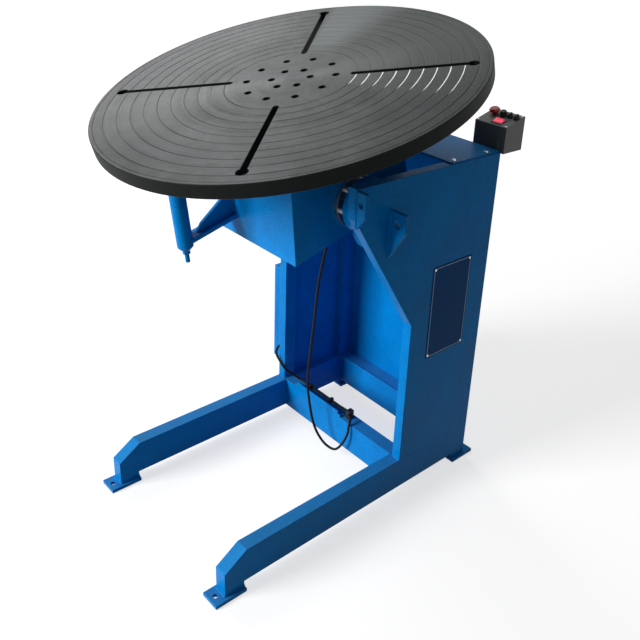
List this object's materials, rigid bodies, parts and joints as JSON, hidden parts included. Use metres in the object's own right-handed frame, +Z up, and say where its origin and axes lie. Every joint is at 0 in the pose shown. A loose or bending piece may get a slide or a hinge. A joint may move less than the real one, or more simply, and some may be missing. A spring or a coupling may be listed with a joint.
{
  "type": "welding positioner",
  "caption": "Welding positioner: a blue floor stand with two columns carries a power-tilted cradle and a slotted, ring-marked turntable on a geared spindle, with an earth brush and controls.",
  "frame": {"origin": "on the floor, at the middle of the four anchor holes", "axes": "+X to the right seen from the front, +Y to the rear, +Z up; the table is tipped forward, towards -Y"},
  "size_m": [1, 1.0656, 1.3635],
  "materials": {
    "blue_enamel": "hammered gloss enamel",
    "table_steel": "turned, oiled, blackened",
    "machined_steel": "turned and ground",
    "bright_steel": "ground",
    "zinc_screws": "zinc plated",
    "blackened_steel": "blackened",
    "nameplate_navy": "satin, bare",
    "cable_jacket": "matt",
    "black_plastic": "satin",
    "motor_grey": "satin enamel",
    "drive_plastic": "satin",
    "control_grey": "satin powder coat",
    "red_lens": "translucent, lit",
    "stop_red": "gloss",
    "brush_copper": "copper graphite"
  },
  "bodies": {
    "stand": {"left_leg": "blue_enamel", "right_leg": "blue_enamel", "anchor_plates": "blue_enamel", "front_crossbeam": "blue_enamel", "rear_crossbeam": "blue_enamel", "left_side_plate": "blue_enamel", "right_side_plate": "blue_enamel", "left_front_post": "blue_enamel", "right_front_post": "blue_enamel", "left_rear_post": "blue_enamel", "right_rear_post": "blue_enamel", "left_edge_bar": "blue_enamel", "right_edge_bar": "blue_enamel", "left_top_bar": "blue_enamel", "right_top_bar": "blue_enamel", "rear_panel": "blue_enamel", "top_cover": "blue_enamel", "cover_screws": "zinc_screws", "lifting_lugs": "blue_enamel", "nameplate": "nameplate_navy", "nameplate_rivets": "zinc_screws", "cable_guard": "blue_enamel", "cable_clips": "blackened_steel", "cable": "cable_jacket", "cabinet_gland": "black_plastic", "left_bearing": "blue_enamel", "bearing_screws": "zinc_screws", "tilt_gearbox": "blue_enamel", "tilt_motor": "motor_grey", "motor_fan_cover": "motor_grey", "cabinet": "blue_enamel", "power_inverter": "drive_plastic", "control_box": "control_grey"},
    "cradle": {"cradle_box": "blue_enamel", "cradle_cover": "blue_enamel", "left_trunnion": "machined_steel", "right_trunnion": "machined_steel", "cradle_screws": "zinc_screws", "bearing_tube": "machined_steel", "upper_bearing": "bright_steel", "lower_bearing": "bright_steel", "rotation_gearbox": "motor_grey", "rotation_motor": "motor_grey", "cradle_gland": "black_plastic", "brush_arm": "blue_enamel", "brush_holder": "blue_enamel"},
    "table": {"turntable": "table_steel", "table_screws": "blackened_steel", "spindle": "machined_steel", "spindle_nut": "blackened_steel", "spindle_gear": "machined_steel"},
    "pinion": {"drive_pinion": "machined_steel"},
    "brush": {"brush_tip": "brush_copper"},
    "door": {"cabinet_door": "blue_enamel"},
    "lock": {"door_lock": "bright_steel"},
    "rocker": {"power_switch": "red_lens"},
    "speed": {"speed_knob": "black_plastic"},
    "stop": {"emergency_stop": "stop_red"},
    "turn_selector": {"turn_switch": "black_plastic"},
    "tilt_selector": {"tilt_switch": "black_plastic"}
  },
  "joints": [
    {"name": "tilt", "type": "hinge", "parent": "stand", "child": "cradle", "pos_m": [0, 0.036, 0.936], "axis": [1, 0, 0], "range_deg": [-16.25, 103.75], "deforming": ["cable"]},
    {"name": "table_turn", "type": "hinge", "parent": "cradle", "child": "table", "pos_m": [0, -0.04795, 1.22402], "axis": [0, -0.2798, 0.96], "continuous": true},
    {"name": "pinion_turn", "type": "hinge", "parent": "cradle", "child": "pinion", "pos_m": [0, 0.10605, 1.19599], "axis": [0, -0.2798, 0.96], "continuous": true},
    {"name": "brush_press", "type": "slide", "parent": "cradle", "child": "brush", "axis": [0, -0.1262, 0.992], "range_m": [-0.008, 0], "stiffness_N_per_m": 1500, "springref_m": 0.01},
    {"name": "cabinet_door_hinge", "type": "hinge", "parent": "stand", "child": "door", "pos_m": [-0.432, 0.456, 0.275], "axis": [0, 0, -1], "range_deg": [0, 110]},
    {"name": "door_lock_turn", "type": "hinge", "parent": "door", "child": "lock", "pos_m": [-0.45, 0.272, 0.275], "axis": [-1, 0, 0], "range_deg": [0, 90]},
    {"name": "power_rocker", "type": "hinge", "parent": "stand", "child": "rocker", "pos_m": [0.255, 0.47925, 1.10026], "axis": [1, 0, 0], "range_deg": [-16, 0]},
    {"name": "speed_knob_turn", "type": "hinge", "parent": "stand", "child": "speed", "pos_m": [0.242, 0.51596, 1.11009], "axis": [0, -0.2588, 0.9659], "range_deg": [-150, 150]},
    {"name": "emergency_stop_push", "type": "slide", "parent": "stand", "child": "stop", "axis": [0, -0.2588, 0.9659], "range_m": [-0.004, 0], "stiffness_N_per_m": 800, "springref_m": 0.003},
    {"name": "turn_selector_turn", "type": "hinge", "parent": "stand", "child": "turn_selector", "pos_m": [0.265, 0.51596, 1.11009], "axis": [0, -0.2588, 0.9659], "range_deg": [-45, 45]},
    {"name": "tilt_selector_turn", "type": "hinge", "parent": "stand", "child": "tilt_selector", "pos_m": [0.287, 0.51596, 1.11009], "axis": [0, -0.2588, 0.9659], "range_deg": [-45, 45]}
  ],
  "couplings": [
    {"joint": "pinion_turn", "follows": "table_turn", "ratio": -2.5}
  ]
}
